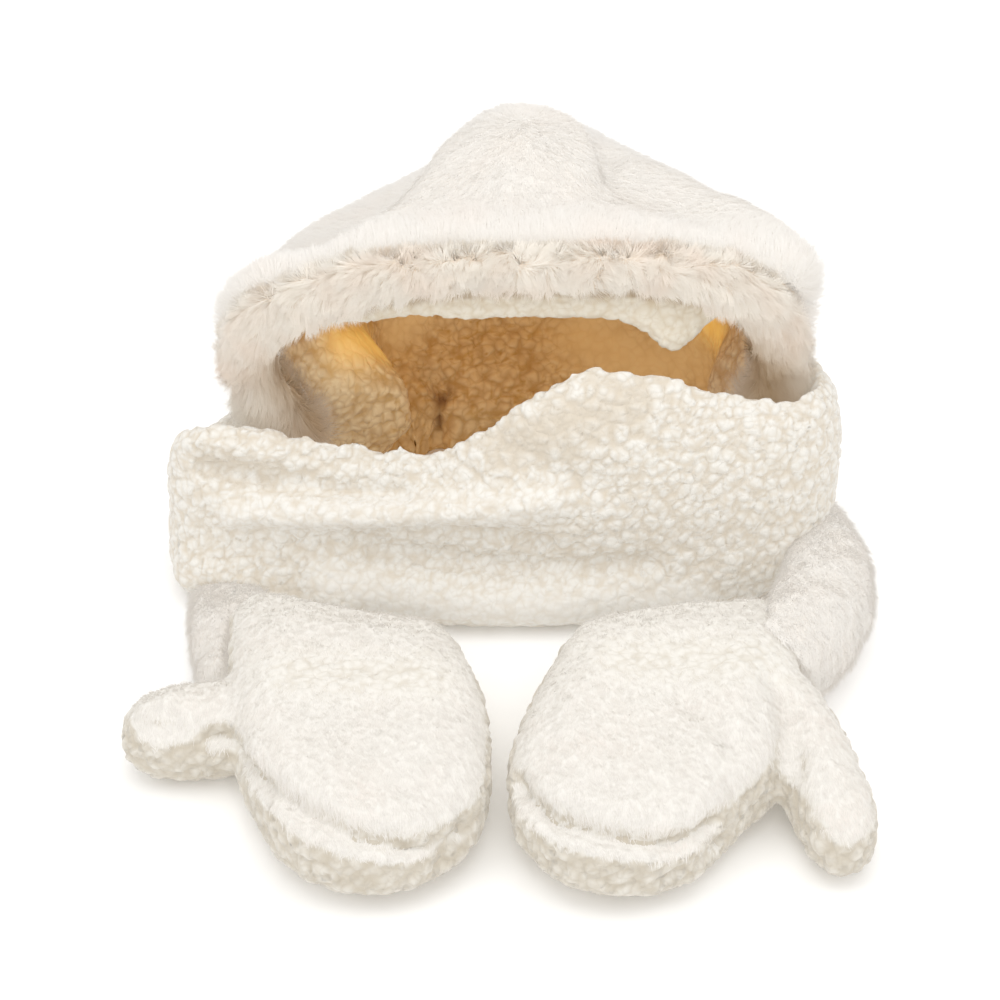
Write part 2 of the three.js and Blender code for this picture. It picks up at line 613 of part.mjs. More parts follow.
const grownHood = domeSolid(hoodPoint, -CLEARANCE, HOOD_HEIGHTS[0]);
const scarfLoop = scarfSolid()
  .subtract(trimSpace)
  .subtract(grownHood)
  .subtract(tubeSolid(LEFT_END, END_SIDES, END_STEPS, CLEARANCE))
  .subtract(tubeSolid(RIGHT_END, END_SIDES, END_STEPS, CLEARANCE))
  .subtract(floor);

function scarfEnd(table, outline, thumb) {
  const grownThumb = tubeSolid(thumb, THUMB_SIDES, THUMB_STEPS, CLEARANCE);
  return tubeSolid(table, END_SIDES, END_STEPS)
    .subtract(handSolid(outline, -CLEARANCE))
    .subtract(grownThumb)
    .subtract(grownHood)
    .subtract(trimSpace)
    .subtract(floor);
}
const leftEnd = scarfEnd(LEFT_END, LEFT_HAND, LEFT_THUMB);
const rightEnd = scarfEnd(RIGHT_END, RIGHT_HAND, RIGHT_THUMB);

// Cloths
const plush = new THREE.MeshStandardMaterial({ color: 0xf4efe6, roughness: 0.95, metalness: 0 });
const fur = new THREE.MeshStandardMaterial({ color: 0xf3ece3, roughness: 0.9, metalness: 0 });
const curlyFleece = new THREE.MeshStandardMaterial({ color: 0xf3ead8, roughness: 1, metalness: 0 });
const warmLining = new THREE.MeshStandardMaterial({ color: 0xd8a968, roughness: 1, metalness: 0 });

// The hooded scarf
const hoodedScarf = new THREE.Group();
const pieces = [
  ["hood_shell", hoodShell, plush],
  ["hood_lining", hoodLining, warmLining],
  ["face_trim", faceTrim, fur],
  ["lining_facing", liningFacing, curlyFleece],
  ["scarf_loop", scarfLoop, curlyFleece],
  ["left_scarf_end", leftEnd, plush],
  ["right_scarf_end", rightEnd, plush],
  ["left_mitten", leftMitten, plush],
  ["right_mitten", rightMitten, plush],
];
for (const [name, solid, cloth] of pieces) {
  const mesh = new THREE.Mesh(geometryOf(solid), cloth);
  mesh.name = name;
  hoodedScarf.add(mesh);
}
const extent = new THREE.Box3().setFromObject(hoodedScarf);
hoodedScarf.position.set(
  -(extent.min.x + extent.max.x) / 2,
  -(extent.min.y + extent.max.y) / 2,
  -extent.min.z,
);

export default hoodedScarf;
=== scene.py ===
# A plush hooded scarf with mittens, lying on a white surface: the finish of every cloth, worked up from the
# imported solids. Metres, in the part's own frame: +X right, +Y towards the back of the hood, +Z up.
import math

import bmesh
import bpy
import numpy as np
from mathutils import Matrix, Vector, kdtree, noise


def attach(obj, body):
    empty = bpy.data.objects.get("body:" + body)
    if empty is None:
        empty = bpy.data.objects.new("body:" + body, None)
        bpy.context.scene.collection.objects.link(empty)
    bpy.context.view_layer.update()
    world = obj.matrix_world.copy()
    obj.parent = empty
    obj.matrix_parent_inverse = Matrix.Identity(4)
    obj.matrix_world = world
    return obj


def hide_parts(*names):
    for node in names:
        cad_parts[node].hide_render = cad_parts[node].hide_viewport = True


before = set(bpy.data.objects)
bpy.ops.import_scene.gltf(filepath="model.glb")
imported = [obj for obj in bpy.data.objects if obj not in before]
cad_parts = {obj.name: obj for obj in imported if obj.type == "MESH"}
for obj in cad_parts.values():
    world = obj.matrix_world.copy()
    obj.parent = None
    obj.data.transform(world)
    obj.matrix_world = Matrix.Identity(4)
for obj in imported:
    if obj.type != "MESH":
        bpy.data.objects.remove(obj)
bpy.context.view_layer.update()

# Surface, light and camera: a plain white surface under wide soft lights, seen from the front and well
# above. The lights are large panels, so that the shadows between the curls stay soft and pale.
FLOOR_SIDE = 16
FLOOR_WHITE = (0.97, 0.97, 0.97, 1)
FLOOR_ROUGHNESS = 0.9
SKY_WHITE = (1.0, 0.995, 0.985, 1)
SKY_STRENGTH = 0.70
LOOK_AT = Vector((-0.0043, -0.0054, 0.070))
LOOK_ELEVATION = 38
LOOK_DISTANCE = 1.4
LENS = 100.8
LIGHT_PANELS = [
    {"name": "overhead", "place": (0.0, 0.0, 2.3), "side": 2.2, "power": 25, "colour": (1.0, 0.995, 0.98)},
    {"name": "front", "place": (0.0, -2.0, 1.2), "side": 1.8, "power": 12, "colour": (1.0, 0.99, 0.975)},
    {"name": "left", "place": (-1.5, -0.7, 1.5), "side": 1.3, "power": 6, "colour": (1.0, 0.99, 0.97)},
    {"name": "right", "place": (1.5, -0.4, 1.5), "side": 1.3, "power": 6, "colour": (1.0, 0.99, 0.98)},
]


def new_finish(name):
    finish = bpy.data.materials.new(name)
    finish.use_nodes = True
    return finish


def shader_of(finish):
    return finish.node_tree.nodes["Principled BSDF"]


bpy.ops.mesh.primitive_plane_add(size=FLOOR_SIDE)
floor = bpy.context.object
floor.name = "white_surface"
floor_finish = new_finish("white_surface")
shader_of(floor_finish).inputs["Base Color"].default_value = FLOOR_WHITE
shader_of(floor_finish).inputs["Roughness"].default_value = FLOOR_ROUGHNESS
floor.data.materials.append(floor_finish)

sky = bpy.data.worlds.new("white_room")
sky.use_nodes = True
sky.node_tree.nodes["Background"].inputs["Color"].default_value = SKY_WHITE
sky.node_tree.nodes["Background"].inputs["Strength"].default_value = SKY_STRENGTH
bpy.context.scene.world = sky
bpy.context.scene.view_settings.view_transform = "Standard"

for panel in LIGHT_PANELS:
    light = bpy.data.lights.new(panel["name"], "AREA")
    light.size = panel["side"]
    light.energy = panel["power"]
    light.color = panel["colour"]
    lamp = bpy.data.objects.new(panel["name"], light)
    lamp.location = panel["place"]
    lamp.rotation_euler = (LOOK_AT - lamp.location).to_track_quat("-Z", "Y").to_euler()
    bpy.context.scene.collection.objects.link(lamp)

eye = bpy.data.objects.new("eye", bpy.data.cameras.new("eye"))
eye.data.lens = LENS
elevation = math.radians(LOOK_ELEVATION)
eye.location = LOOK_AT + LOOK_DISTANCE * Vector((0, -math.cos(elevation), math.sin(elevation)))
eye.rotation_euler = (LOOK_AT - eye.location).to_track_quat("-Z", "Y").to_euler()
bpy.context.scene.collection.objects.link(eye)
bpy.context.scene.camera = eye

# Outer cloth of the hood: one layer of cream plush, cut in two halves and sewn up the back, standing by
# itself in soft swells. Its short, dense pile is brushed back and down from the peak.
HOOD_VOXEL = 0.0025
HOOD_SOFTENING = 14
PLUSH_SWELL = 0.0016  # height of the soft swells in the cloth
PLUSH_SWELL_SIZE = 0.026
MILLIMETRES = 1000  # in a metre
# A fold runs along a course of points in millimetres. It spreads as far as its reach to both sides, and it
# stands out by its rise, or is pressed in where the rise is below nothing.
HOOD_FOLDS = [
    {"course": ((52, 134, 188), (50, 118, 190), (42, 88, 189)), "reach": 8, "rise": -5.5},
    {"course": ((72, 118, 183), (95, 98, 179), (118, 76, 176)), "reach": 18, "rise": 5},
    {"course": ((112, 88, 176), (128, 74, 172), (138, 62, 168)), "reach": 16, "rise": 6},
    {"course": ((-118, 60, 160), (-130, 66, 140)), "reach": 16, "rise": 6},
]
# The lean of a strand is in degrees from upright. Strands within a tuft's size of its middle strand are
# pulled towards it by a share of the way.
HOOD_PILE = {
    "count": 170000, "length": 0.0046, "width": 0.00036, "lean": 72, "spread": 0.2,
    "tuft": 0.006, "pull": 0.4,
}
STRANDS_TO_A_TUFT = 24
LEAN_SPREAD = 10
SHORTEST_STRAND = 0.65
STRAND_VARIATION = 0.6
STRAND_TILT = 0.1  # how far a strand is shaded along its own lie, and not along the cloth's
STRAND_CLEARANCE = 0.0003  # over the surface that the whole lies on
# Painted light: the strands' glow, for the light that they pass on to each other.
LIGHT_IN_PLUSH = (0.295, 0.28, 0.259, 1)  # the light that the strands pass on to each other
# The darker root colour is painted shade deep in the pile.
PLUSH_PILE_LOOK = {
    "root": (0.55, 0.53, 0.50, 1),
    "tip": (0.585, 0.57, 0.55, 1),
    "blush": (0.59, 0.555, 0.525, 1),
    "light": LIGHT_IN_PLUSH,
}
PLUSH_CLOTH_LOOK = {
    "cloth": (0.59, 0.57, 0.545, 1),
    "blush": (0.59, 0.555, 0.515, 1),
    "light": LIGHT_IN_PLUSH,
}
CLOTH_ROUGHNESS = 0.9
CLOTH_SHINE = 0.2
CLOTH_SHEEN = 0.25
SHEEN_ROUGHNESS = 0.5
PILE_PATCHES = {"size": 0.03, "low": 0.45, "high": 0.8}
CLOTH_PATCHES = {"size": 0.02, "low": 0.4, "high": 0.7}
# Painted shade: the strands' darker root colour reaches this share of the way up.
SHADED_ROOT_SHARE = 0.35  # how far up a strand its darker root reaches
GRAIN_SIZES = (0.0022, 0.0009)
GRAIN_HEIGHT = 0.0008
PEAK = np.array([0.008, 0.135, 0.2])
HOOD_HEART = np.array([0.006, 0.068, 0.06])  # the middle of the hollow
HOOD_FOOT = 0.06  # the scarf covers the hood up to here
ROLL_START = 0.085
ROLL_FADE = 0.03
STOOD_BACK = np.array([0.0, 1.0, 0.3])
LONGER_BY_ROLL = 1.2
NEARLY_NONE = 1e-6


def settle(piece):
    """Gives the piece the shape that its modifiers make."""
    shape = piece.evaluated_get(bpy.context.evaluated_depsgraph_get())
    mesh = bpy.data.meshes.new_from_object(shape)
    piece.modifiers.clear()
    piece.data = mesh
    mesh.shade_smooth()


def drop_crumbs(piece):
    """Keeps the largest linked part of a mesh, and drops the crumbs that come off at thin edges."""
    worked = bmesh.new()
    worked.from_mesh(piece.data)
    left = set(worked.verts)
    parts = []
    while left:
        part = []
        reached = [left.pop()]
        while reached:
            vertex = reached.pop()
            part.append(vertex)
            linked = {edge.other_vert(vertex) for edge in vertex.link_edges} & left
            left -= linked
            reached.extend(linked)
        parts.append(part)
    crumbs = sorted(parts, key=len)[:-1]
    bmesh.ops.delete(worked, geom=[vertex for part in crumbs for vertex in part], context="VERTS")
    worked.to_mesh(piece.data)
    worked.free()


def fine_copy(node, name, voxel, softening):
    """An even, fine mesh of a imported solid, with its facets softened."""
    piece = bpy.data.objects.new(name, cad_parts[node].data.copy())
    piece.data.materials.clear()
    bpy.context.scene.collection.objects.link(piece)
    even = piece.modifiers.new("even_faces", "REMESH")
    even.mode = "VOXEL"
    even.voxel_size = voxel
    soft = piece.modifiers.new("soft_form", "SMOOTH")
    soft.factor = 0.5
    soft.iterations = softening
    settle(piece)
    drop_crumbs(piece)
    return piece


def read_points(rows, what):
    """The same three numbers of every row of a mesh, as an array."""
    numbers = np.empty(len(rows) * 3, np.float32)
    rows.foreach_get(what, numbers)
    return numbers.reshape(-1, 3)


def places_of(piece):
    return read_points(piece.data.vertices, "co")


def outward_of(piece):
    return read_points(piece.data.vertices, "normal")


def raise_cloth(piece, heights):
    """Moves each point of the cloth out along its normal, and never below the surface that it lies on."""
    places = places_of(piece) + outward_of(piece) * np.asarray(heights)[:, None]
    places[:, 2] = np.maximum(places[:, 2], 0)
    piece.data.vertices.foreach_set("co", places.astype(np.float32).ravel())
    piece.data.update()


def keep_values(piece, name, values):
    """Keeps one number for each point, for the finish to read."""
    kept = piece.data.attributes.new(name, "FLOAT", "POINT")
    kept.data.foreach_set("value", np.asarray(values, np.float32))


def swells(places, size):
    """Soft noise from -1 to 1 over the cloth."""
    return np.array([noise.noise(Vector(place) / size) for place in places.tolist()])


def unit(vectors):
    return vectors / np.maximum(np.linalg.norm(vectors, axis=1, keepdims=True), 1e-9)


def beside(places, course):
    """How far each place is from a line through a course's points."""
    nearest = np.full(len(places), np.inf)
    stops = np.array(course) / MILLIMETRES
    for start, end in zip(stops[:-1], stops[1:]):
        run = end - start
        share = np.clip((places - start) @ run / (run @ run), 0, 1)
        away = np.linalg.norm(places - start - share[:, None] * run, axis=1)
        nearest = np.minimum(nearest, away)
    return nearest


def nearness(places, fold):
    """1 on a fold's course, fading to 0 at its sides."""
    away = beside(places, fold["course"]) * MILLIMETRES / fold["reach"]
    return np.exp(-(away ** 2))


def folded(places, folds):
    """How far the folds lift each place, or press it in."""
    rises = np.zeros(len(places))
    for fold in folds:
        rises += fold["rise"] / MILLIMETRES * nearness(places, fold)
    return rises


def scattered(cloth, where, count, random):
    """Places scattered over a cloth, as densely as where says, and the way out of the cloth at each."""
    cloth.data.calc_loop_triangles()
    corners = np.empty(len(cloth.data.loop_triangles) * 3, np.int32)
    cloth.data.loop_triangles.foreach_get("vertices", corners)
    corners = corners.reshape(-1, 3)
    places = places_of(cloth)
    outward = outward_of(cloth)
    first, second, third = (places[corners[:, k]] for k in range(3))
    area = np.linalg.norm(np.cross(second - first, third - first), axis=1)
    dense = area * where(places[corners].mean(1), unit(outward[corners].mean(1)))
    chosen = random.choice(len(corners), count, p=dense / dense.sum())
    along, across = random.random((2, count, 1))
    over = along + across > 1
    along = np.where(over, 1 - along, along)
    across = np.where(over, 1 - across, across)
    root = first[chosen] + along * (second - first)[chosen] + across * (third - first)[chosen]
    return root, unit(outward[corners[chosen]].mean(1))


def in_tufts(root, tip, size):
    """The tips of the strands, drawn towards the tip of their tuft's middle strand."""
    tuft_count = len(root) // STRANDS_TO_A_TUFT
    tufts = kdtree.KDTree(tuft_count)
    for i in range(tuft_count):
        tufts.insert(root[i], i)
    tufts.balance()
    centre = np.array([tufts.find(place)[1] for place in root])
    away = np.linalg.norm(root - root[centre], axis=1, keepdims=True)
    near = np.exp(-((away / size["tuft"]) ** 2))
    return tip + (tip[centre] - tip) * near * size["pull"]


def blades(name, points):
    """A mesh of single triangles, from three points for each."""
    count = len(points) // 3
    mesh = bpy.data.meshes.new(name)
    mesh.vertices.add(3 * count)
    mesh.vertices.foreach_set("co", points.astype(np.float32).ravel())
    mesh.loops.add(3 * count)
    mesh.loops.foreach_set("vertex_index", np.arange(3 * count, dtype=np.int32))
    mesh.polygons.add(count)
    mesh.polygons.foreach_set("loop_start", np.arange(0, 3 * count, 3, dtype=np.int32))
    mesh.update(calc_edges=True)
    return mesh


def grow_pile(name, cloth, size, brushed, where, seed, longer=None):
    """Strands of pile on a cloth, each a narrow blade, in tufts whose tips draw together. brushed gives the
    way that they lie at a place, where gives how densely they grow there, and longer gives how many times
    longer than usual they are."""
    random = np.random.default_rng(seed)
    count = size["count"]
    root, up = scattered(cloth, where, count, random)
    lie = brushed(root, up) + random.normal(0, size["spread"], (count, 3))
    lie = unit(lie - up * (lie * up).sum(1, keepdims=True))
    lean = np.radians(size["lean"] + random.normal(0, LEAN_SPREAD, (count, 1)))
    grow = up * np.cos(lean) + lie * np.sin(lean)
    length = size["length"] * (SHORTEST_STRAND + STRAND_VARIATION * random.random((count, 1)))
    if longer:
        length = length * longer(root)
    tip = in_tufts(root, root + grow * length, size)
    tip[:, 2] = np.maximum(tip[:, 2], STRAND_CLEARANCE)
    side = unit(np.cross(grow, up)) * size["width"] / 2
    mesh = blades(name, np.stack([root - side, root + side, tip], 1).reshape(-1, 3))
    strands = bpy.data.objects.new(name, mesh)
    bpy.context.scene.collection.objects.link(strands)
    keep_values(strands, "up_the_strand", np.tile([0, 0, 1], count))
    mesh.normals_split_custom_set_from_vertices(np.repeat(unit(up + STRAND_TILT * grow), 3, axis=0))
    return strands


def mixed_colours(finish, share, low, high):
    """A mix of two colours, or of a colour and another mix, by a share from 0 to 1."""
    mix = finish.node_tree.nodes.new("ShaderNodeMix")
    mix.data_type = "RGBA"
    low_socket, high_socket, mixed = mix.inputs[6], mix.inputs[7], mix.outputs[2]
    finish.node_tree.links.new(share, mix.inputs["Factor"])
    for socket, colour in ((low_socket, low), (high_socket, high)):
        if isinstance(colour, tuple):
            socket.default_value = colour
        else:
            finish.node_tree.links.new(colour, socket)
    return mixed


def kept_values(finish, name):
    read = finish.node_tree.nodes.new("ShaderNodeAttribute")
    read.attribute_name = name
    return read.outputs["Fac"]


def stretched(finish, share, low, high):
    """A share stretched so that low to high becomes 0 to 1."""
    stretch = finish.node_tree.nodes.new("ShaderNodeMapRange")
    stretch.inputs["From Min"].default_value = low
    stretch.inputs["From Max"].default_value = high
    finish.node_tree.links.new(share, stretch.inputs["Value"])
    return stretch.outputs["Result"]


def noise_share(finish, size, low, high):
    """Noise over the cloth in patches of a size."""
    nodes, links = finish.node_tree.nodes, finish.node_tree.links
    spots = nodes.new("ShaderNodeTexNoise")
    spots.inputs["Scale"].default_value = 1 / size
    links.new(nodes.new("ShaderNodeTexCoord").outputs["Object"], spots.inputs["Vector"])
    return stretched(finish, spots.outputs["Fac"], low, high)


def cloth_finish(name):
    """The dull, slightly downy surface that all the cloths share."""
    finish = new_finish(name)
    shader = shader_of(finish)
    shader.inputs["Roughness"].default_value = CLOTH_ROUGHNESS
    shader.inputs["Specular IOR Level"].default_value = CLOTH_SHINE
    shader.inputs["Sheen Weight"].default_value = CLOTH_SHEEN
    shader.inputs["Sheen Roughness"].default_value = SHEEN_ROUGHNESS
    return finish


def glow(finish, colour):
    """Painted light: a glow that comes out of the pile itself, standing for the light that loose fibres
    pass on from what falls on them.
    """
    shader = shader_of(finish)
    shader.inputs["Emission Color"].default_value = colour
    shader.inputs["Emission Strength"].default_value = 1.0
    finish.cycles.emission_sampling = "NONE"


def pile_finish(name, look):
    """Strands with painted shade that darkens them close to the root, with some patches warmer than the
    rest, and with a painted glow for the light that they pass on to each other."""
    finish = cloth_finish(name)
    warmed = mixed_colours(finish, noise_share(finish, **PILE_PATCHES), look["tip"], look["blush"])
    lit = stretched(finish, kept_values(finish, "up_the_strand"), 0.0, SHADED_ROOT_SHARE)
    colour = mixed_colours(finish, lit, look["root"], warmed)
    finish.node_tree.links.new(colour, shader_of(finish).inputs["Base Color"])
    glow(finish, look["light"])
    return finish


def add_grain(finish):
    """Fine relief in the finish, from noise of each grain size."""
    nodes, links = finish.node_tree.nodes, finish.node_tree.links
    before = None
    for size in GRAIN_SIZES:
        relief = nodes.new("ShaderNodeBump")
        relief.inputs["Distance"].default_value = GRAIN_HEIGHT * size / GRAIN_SIZES[0]
        links.new(noise_share(finish, size, 0.3, 0.7), relief.inputs["Height"])
        if before:
            links.new(before, relief.inputs["Normal"])
        before = relief.outputs["Normal"]
    links.new(before, shader_of(finish).inputs["Normal"])


def cloth_under_pile(name, look):
    """The cloth under the strands: cream, a little warmer in patches, with the grain of dense pile."""
    finish = cloth_finish(name)
    colour = mixed_colours(finish, noise_share(finish, **CLOTH_PATCHES), look["cloth"], look["blush"])
    finish.node_tree.links.new(colour, shader_of(finish).inputs["Base Color"])
    add_grain(finish)
    glow(finish, look["light"])
    return finish


def close_to_roll(root):
    """1 at the hood's front edge, where the fur roll is, fading to 0 behind it."""
    return np.clip((ROLL_START - root[:, 1:2]) / ROLL_FADE, 0, 1)


def brushed_from_peak(root, up):
    """Pile that lies down and back from the peak, and stands up towards the back close to the fur roll."""
    close = close_to_roll(root)
    return unit(root - PEAK) * (1 - close) + STOOD_BACK * close


def longer_by_the_roll(root):
    """The pile is longest at the front, where it runs into the fur roll."""
    return 1 + LONGER_BY_ROLL * close_to_roll(root)


def outside_of_hood(places, outward):
    """1 on the outside of the hood, down to the scarf, and nearly 0 inside and under the loop."""
    away = places - HOOD_HEART
    faces_out = (away * outward).sum(1) > 0
    return np.where(faces_out & (places[:, 2] > HOOD_FOOT), 1.0, 0.0) + NEARLY_NONE


hood = fine_copy("hood_shell", "hood_plush", HOOD_VOXEL, HOOD_SOFTENING)
hood_places = places_of(hood)
hood_rises = PLUSH_SWELL * swells(hood_places, PLUSH_SWELL_SIZE) + folded(hood_places, HOOD_FOLDS)
raise_cloth(hood, hood_rises * outside_of_hood(hood_places, outward_of(hood)))
plush_cloth = cloth_under_pile("plush_backing", PLUSH_CLOTH_LOOK)
plush_pile = pile_finish("plush_pile", PLUSH_PILE_LOOK)
hood.data.materials.append(plush_cloth)
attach(hood, "root")
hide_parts("hood_shell")
hood_pile = grow_pile(
    "hood_plush_pile", hood, HOOD_PILE, brushed_from_peak, outside_of_hood, seed=3,
    longer=longer_by_the_roll)
hood_pile.data.materials.append(plush_pile)
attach(hood_pile, "root")

# Lining of the hood: curly fleece in cream, painted golden and given a painted glow for the light in the
# hood's shade, sewn in along the face opening and hanging loose from there: fallen inward on the left, and
# rolled up along its foot at the back.
LINING_VOXEL = 0.0026
LINING_SOFTENING = 10
LINING_CLUMP = 0.010
LINING_CLUMP_HEIGHT = 0.0012
LINING_FOLDS = [
    {"course": ((-62, 144, 2), (-40, 152, 2), (-10, 158, 2), (20, 162, 2)), "reach": 16, "rise": 22},
    {"course": ((-43, 150, 40), (-36, 144, 27), (-39, 142, 8)), "reach": 4.5, "rise": -10},
    {"course": ((-56, 138, 34), (-54, 136, 8)), "reach": 11, "rise": 6},
    {"course": ((-26, 143, 7), (-24, 143, 12)), "reach": 9, "rise": 7},
]
# Painted shade: the lining is the same cream fleece as the facing, painted golden here and browner in its
# crevices, for the golden shade inside the hood.
LINING_PAINTED_GOLD_LOOK = {
    "rubbed": (0.86, 0.70, 0.45, 1),
    "curled": (0.86, 0.70, 0.45, 1),
    "crevice_shade": (0.60, 0.39, 0.16, 1),
    "curl": 0.0052,
    "relief": 0.0013,
}
# Painted shade: the colour that darkens the lining's deep fold.
LINING_PAINTED_FOLD_SHADE = (0.26, 0.13, 0.045, 1)
# Painted light, as a glow in the cloth that stands for the light coming through it from outside: gold deep
# in the hood and less down between the curls, amber where the cloth is thin, least in its dark fold, and
# beige where it is turned towards the opening. Later rows lie over earlier.
THROUGH_TOP = (0.10, 0.042, 0.003, 1)
THROUGH_CREVICE = (0.05, 0.018, 0.001, 1)
LIT_PLACES = [
    {"kept": "painted_gold_glow", "smooth": True, "light": (0.15, 0.075, 0.014, 1), "rows": [
        {"course": ((42, 174, 46), (73, 159, 36), (98, 144, 50)), "reach": 20},
        {"course": ((-62, 164, 56), (-48, 168, 62)), "reach": 11},
    ]},
    {"kept": "painted_fold_shade", "smooth": False, "light": (0.01, 0.003, 0.001, 1), "rows": [
        {"course": ((-43, 150, 40), (-36, 144, 27), (-39, 142, 8)), "reach": 4.5},
    ]},
    {"kept": "painted_beige_glow", "smooth": False, "light": (0.07, 0.052, 0.038, 1), "rows": [
        {"course": ((-100, 58, 104), (-92, 66, 60)), "reach": 28},
        {"course": ((118, 74, 96), (112, 78, 70)), "reach": 22},
    ]},
    # Painted light: the amber glow where the cloth is thin.
    {"kept": "thin", "smooth": True, "light": (0.40, 0.20, 0.004, 1), "rows": [
        {"course": ((-84, 90, 100), (-72, 106, 88), (-64, 124, 76)), "reach": 15},
        {"course": ((109, 140, 78), (110, 124, 84)), "reach": 13},
    ]},
]
SMOOTHED = 0.75  # how much of the curls is lost where the cloth is pulled smooth
CURL_WAVINESS = 0.45
CURL_STEEPNESS = 0.5
CURL_SEED = 1
CURL_LEVEL = 0.7  # the height in a clump that stays where the solid has it
SMOOTH_HEIGHT = 0.8  # the height in a clump of cloth that is not curly
# How far from a curl's middle, as shares of its size, its relief, its painted crevice shade and its painted
# glow start and end.
RELIEF_FROM, RELIEF_TO = 0.2, 0.8
CREVICE_FROM, CREVICE_TO = 0.35, 1.0
LIGHT_FROM, LIGHT_TO = 0.3, 0.8
# Painted shade: below this kept height in a clump, the fleece is painted towards its crevice colour.
HOLLOW_FROM = 0.5  # the height in a clump below which it is shaded


def curl_rises(places, size):
    """How far up from the crevices each place of curly fleece is, from 0 to 1 on top of a curl."""
    rises = np.empty(len(places))
    for i, place in enumerate(places.tolist()):
        spot = Vector(place) / size
        spot += noise.noise_vector(spot * 0.8) * CURL_WAVINESS
        near = noise.voronoi(spot)[0]
        rises[i] = near[1] - near[0]
    rises = np.clip(rises / CURL_STEEPNESS, 0, 1)
    return 1 - (1 - rises) ** 2


def curl_cloth(piece, size, height, curliness, painted_shade=0.0):
    """Raises clumps of curls, and keeps how high each place lies in them and how curly it is. Painted shade
    lowers the kept height, so that the finish paints those places dark as shade down to the backing."""
    rises = curl_rises(places_of(piece), size) * curliness + (1 - curliness) * SMOOTH_HEIGHT
    raise_cloth(piece, height * (rises - CURL_LEVEL))
    keep_values(piece, "up_the_curl_less_painted_shade", rises * (1 - painted_shade))
    keep_values(piece, "curliness", curliness)


def warped_places(finish, size, amount):
    """The places on the cloth, moved about a little so that no curl comes out regular."""
    nodes, links = finish.node_tree.nodes, finish.node_tree.links
    places = nodes.new("ShaderNodeTexCoord").outputs["Object"]
    drift = nodes.new("ShaderNodeTexNoise")
    drift.inputs["Scale"].default_value = 1 / size
    drift.inputs["Detail"].default_value = 0
    links.new(places, drift.inputs["Vector"])
    moved = nodes.new("ShaderNodeVectorMath")
    moved.operation = "MULTIPLY_ADD"
    moved.inputs[1].default_value = (amount, amount, amount)
    links.new(drift.outputs["Color"], moved.inputs[0])
    links.new(places, moved.inputs[2])
    return moved.outputs["Vector"]


def down_the_curl(finish, size):
    """How far each place lies from the middle of its curl, as a share of a curl's size."""
    cells = finish.node_tree.nodes.new("ShaderNodeTexVoronoi")
    cells.inputs["Scale"].default_value = 1 / size
    finish.node_tree.links.new(warped_places(finish, size * 1.1, size * 0.9), cells.inputs["Vector"])
    return cells.outputs["Distance"]


def weakened(finish, share, curliness):
    """A share that comes closer to 0 the less curly the cloth is."""
    product = finish.node_tree.nodes.new("ShaderNodeMath")
    product.operation = "MULTIPLY"
    finish.node_tree.links.new(share, product.inputs[0])
    finish.node_tree.links.new(curliness, product.inputs[1])
    return product.outputs["Value"]


def fleece_finish(name, look):
    """Curly fleece: palest where it is rubbed smooth, warmer where it curls, and with painted shade that
    darkens it down between the round curls and in the hollows between clumps of them."""
    finish = cloth_finish(name)
    nodes, links = finish.node_tree.nodes, finish.node_tree.links
    shader = shader_of(finish)
    curliness = kept_values(finish, "curliness")
    away = down_the_curl(finish, look["curl"])
    down = weakened(finish, stretched(finish, away, RELIEF_FROM, RELIEF_TO), curliness)
    crevice_painted_shade = weakened(finish, stretched(finish, away, CREVICE_FROM, CREVICE_TO), curliness)
    hollow_painted_shade = stretched(finish, kept_values(finish, "up_the_curl_less_painted_shade"), HOLLOW_FROM, 0.0)
    cloth = mixed_colours(finish, curliness, look["rubbed"], look["curled"])
    shaded = mixed_colours(finish, hollow_painted_shade, cloth, look["crevice_shade"])
    links.new(mixed_colours(finish, crevice_painted_shade, shaded, look["crevice_shade"]), shader.inputs["Base Color"])
    bump = nodes.new("ShaderNodeBump")
    bump.invert = True
    bump.inputs["Distance"].default_value = look["relief"]
    links.new(down, bump.inputs["Height"])
    links.new(bump.outputs["Normal"], shader.inputs["Normal"])
    return finish


def near_places(places, rows):
    """1 on the rows' courses, fading to 0 away from them."""
    return np.max([nearness(places, row) for row in rows], axis=0)


def light_the_lining(piece, finish):
    """Paints light into the lining: a glow for the light that comes through the cloth behind it, and
    painted shade that darkens its deep fold.
    """
    down = stretched(finish, down_the_curl(finish, LINING_PAINTED_GOLD_LOOK["curl"]), LIGHT_FROM, LIGHT_TO)
    painted_light_through = mixed_colours(finish, down, THROUGH_TOP, THROUGH_CREVICE)
    for lit in LIT_PLACES:
        keep_values(piece, lit["kept"], near_places(places_of(piece), lit["rows"]))
        painted_light_through = mixed_colours(finish, kept_values(finish, lit["kept"]), painted_light_through, lit["light"])
    shader = shader_of(finish)
    colour = shader.inputs["Base Color"].links[0].from_socket
    # Painted shade in the deep fold.
    fold_painted_shade = mixed_colours(finish, kept_values(finish, "painted_fold_shade"), colour, LINING_PAINTED_FOLD_SHADE)
    finish.node_tree.links.new(fold_painted_shade, shader.inputs["Base Color"])
    finish.node_tree.links.new(painted_light_through, shader.inputs["Emission Color"])
    shader.inputs["Emission Strength"].default_value = 1.0
    finish.cycles.emission_sampling = "NONE"


noise.seed_set(CURL_SEED)  # else the noise is drawn from the clock
lining = fine_copy("hood_lining", "hood_lining_fleece", LINING_VOXEL, LINING_SOFTENING)
raise_cloth(lining, folded(places_of(lining), LINING_FOLDS))
smooth_rows = [row for lit in LIT_PLACES if lit["smooth"] for row in lit["rows"]]
smooth_places = near_places(places_of(lining), smooth_rows)
curl_cloth(lining, LINING_CLUMP, LINING_CLUMP_HEIGHT, 1 - SMOOTHED * smooth_places)
lining_fleece = fleece_finish("lining_fleece", LINING_PAINTED_GOLD_LOOK)
light_the_lining(lining, lining_fleece)
lining.data.materials.append(lining_fleece)
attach(lining, "root")
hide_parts("hood_lining")

